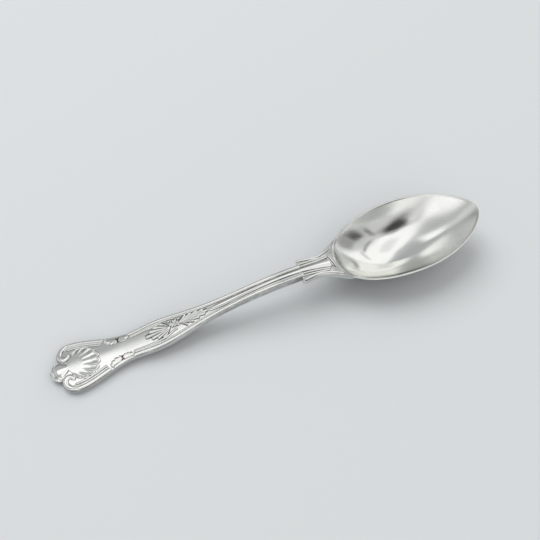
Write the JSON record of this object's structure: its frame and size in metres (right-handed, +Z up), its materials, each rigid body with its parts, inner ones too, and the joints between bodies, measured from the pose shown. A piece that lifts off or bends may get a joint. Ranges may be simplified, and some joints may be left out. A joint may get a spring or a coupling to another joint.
{
  "type": "teaspoon",
  "caption": "Silver-plated teaspoon with a deep pointed bowl, stepped shoulders, a slim stem and a fiddle-shaped handle end struck with a scallop shell, scrolls and thread borders.",
  "frame": {"origin": "middle of the spoon's length and width, on the table that it lies on", "axes": "+X from the tip of the handle to the tip of the bowl, +Y to the left edge seen from the handle, +Z up out of the bowl's hollow"},
  "size_m": [0.1496, 0.029, 0.0143],
  "materials": {
    "silver_plate": "polished",
    "struck_silver": "polished, darkened in the recesses"
  },
  "bodies": {
    "root": {"bowl": "silver_plate", "shoulders": "silver_plate", "back_drop": "silver_plate", "handle": "silver_plate", "tip_knop": "silver_plate", "front_shell": "struck_silver", "back_shell": "struck_silver", "front_tie": "struck_silver", "front_honeysuckle": "struck_silver", "front_leaf_spray": "struck_silver", "stem_rib": "struck_silver", "heel_bar": "struck_silver", "left_scroll": "struck_silver", "left_husk": "struck_silver", "left_end_thread": "struck_silver", "left_stem_thread": "struck_silver", "left_wing_thread": "struck_silver", "left_back_thread": "struck_silver", "right_scroll": "struck_silver", "right_husk": "struck_silver", "right_end_thread": "struck_silver", "right_stem_thread": "struck_silver", "right_wing_thread": "struck_silver", "right_back_thread": "struck_silver"}
  },
  "joints": []
}
